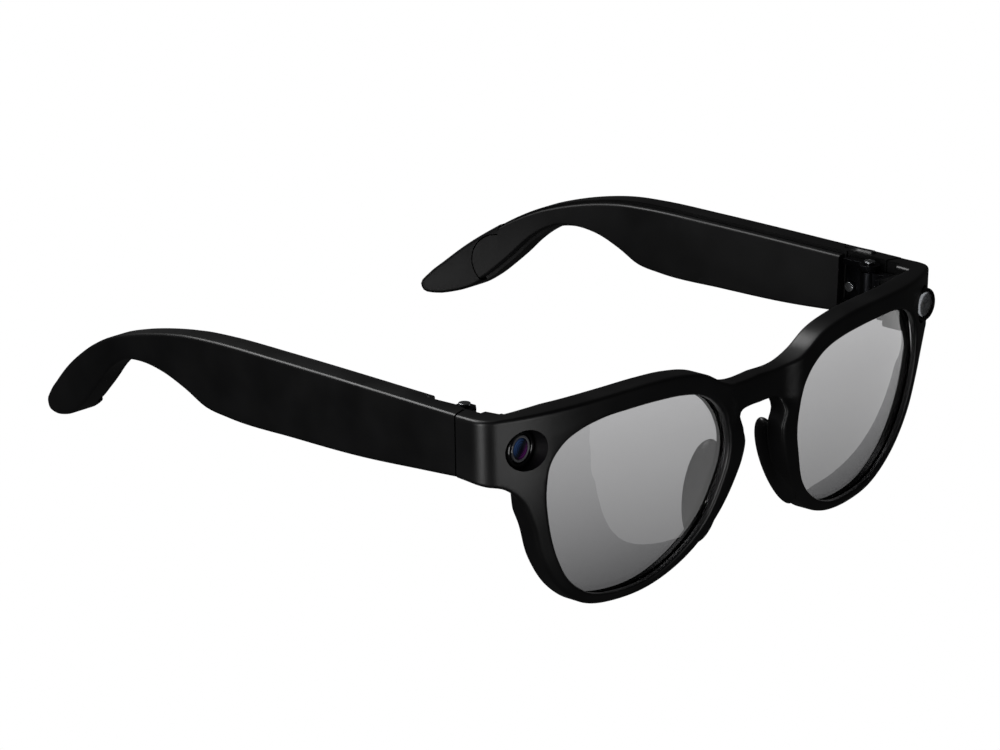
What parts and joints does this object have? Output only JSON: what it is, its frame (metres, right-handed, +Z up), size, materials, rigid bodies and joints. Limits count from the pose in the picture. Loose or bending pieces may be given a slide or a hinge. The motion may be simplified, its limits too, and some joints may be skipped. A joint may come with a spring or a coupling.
{
  "type": "smart glasses",
  "caption": "Camera glasses: a wrapped black front with tinted lenses, a camera and a capture light, on two hinged temples with a press button and charging contacts.",
  "frame": {"origin": "middle of the footprint, at the height of the rims' lowest point", "axes": "+X to the wearer's left, +Y from the front to the temple tips, +Z up"},
  "size_m": [0.1452, 0.1446, 0.0453],
  "materials": {
    "moulded_nylon_black": "fine-grained matte moulding, slightly satin on the edges",
    "cover_black": "smooth matte moulding",
    "tinted_lens": "polished, grey graduated tint",
    "bezel_black": "polished black ring",
    "camera_glass": "polished, blue anti-glare coating",
    "diffuser_grey": "clear grey dome",
    "barrel_black": "black anodised",
    "phosphor_yellow": "yellow light-emitting chip",
    "board_green": "solder-masked circuit board",
    "blackened_steel": "blackened steel, satin",
    "polished_steel": "polished steel",
    "chip_black": "moulded chip package",
    "foil_silver": "laminated foil",
    "speaker_grey": "moulded speaker box",
    "mic_can": "plated steel can",
    "gold_plate": "gold-plated pins",
    "nickel": "nickel-plated magnets",
    "button_black": "matte moulding",
    "switch_grey": "tactile switch body"
  },
  "bodies": {
    "front": {"front_frame": "moulded_nylon_black", "lens_left": "tinted_lens", "lens_right": "tinted_lens", "camera_bezel": "bezel_black", "camera_window": "camera_glass", "camera_barrel": "barrel_black", "camera_board": "board_green", "light_bezel": "bezel_black", "light_window": "diffuser_grey", "light_chip": "phosphor_yellow", "light_board": "board_green", "hinge_front_leaf_left": "blackened_steel", "hinge_front_screw_left": "polished_steel", "hinge_pin_left": "polished_steel", "hinge_front_leaf_right": "blackened_steel", "hinge_front_screw_right": "polished_steel", "hinge_pin_right": "polished_steel"},
    "temple_left": {"temple_shell_left": "moulded_nylon_black", "temple_cover_left": "cover_black", "hinge_temple_leaf_left": "blackened_steel", "hinge_temple_screw_left": "polished_steel", "circuit_board_left": "board_green", "sound_chip_left": "chip_black", "battery_left": "foil_silver", "speaker_left": "speaker_grey", "microphone_left": "mic_can", "button_switch": "switch_grey"},
    "temple_right": {"temple_shell_right": "moulded_nylon_black", "temple_cover_right": "cover_black", "hinge_temple_leaf_right": "blackened_steel", "hinge_temple_screw_right": "polished_steel", "circuit_board_right": "board_green", "sound_chip_right": "chip_black", "battery_right": "foil_silver", "speaker_right": "speaker_grey", "microphone_right": "mic_can", "charge_contact_1": "gold_plate", "charge_contact_2": "gold_plate", "charge_contact_3": "gold_plate", "charge_contact_4": "gold_plate", "charge_magnet_1": "nickel", "charge_magnet_2": "nickel"},
    "button": {"capture_button": "button_black"}
  },
  "joints": [
    {"name": "temple_left_fold", "type": "hinge", "parent": "front", "child": "temple_left", "pos_m": [0.0656, -0.0499, 0.037], "axis": [0, 0, 1], "range_deg": [0, 88]},
    {"name": "temple_right_fold", "type": "hinge", "parent": "front", "child": "temple_right", "pos_m": [-0.0656, -0.0499, 0.037], "axis": [0, 0, -1], "range_deg": [0, 70]},
    {"name": "button_press", "type": "slide", "parent": "temple_left", "child": "button", "axis": [0, 0, -1], "range_m": [0, 0.0004], "stiffness_N_per_m": 1500, "springref_m": -0.0002}
  ]
}
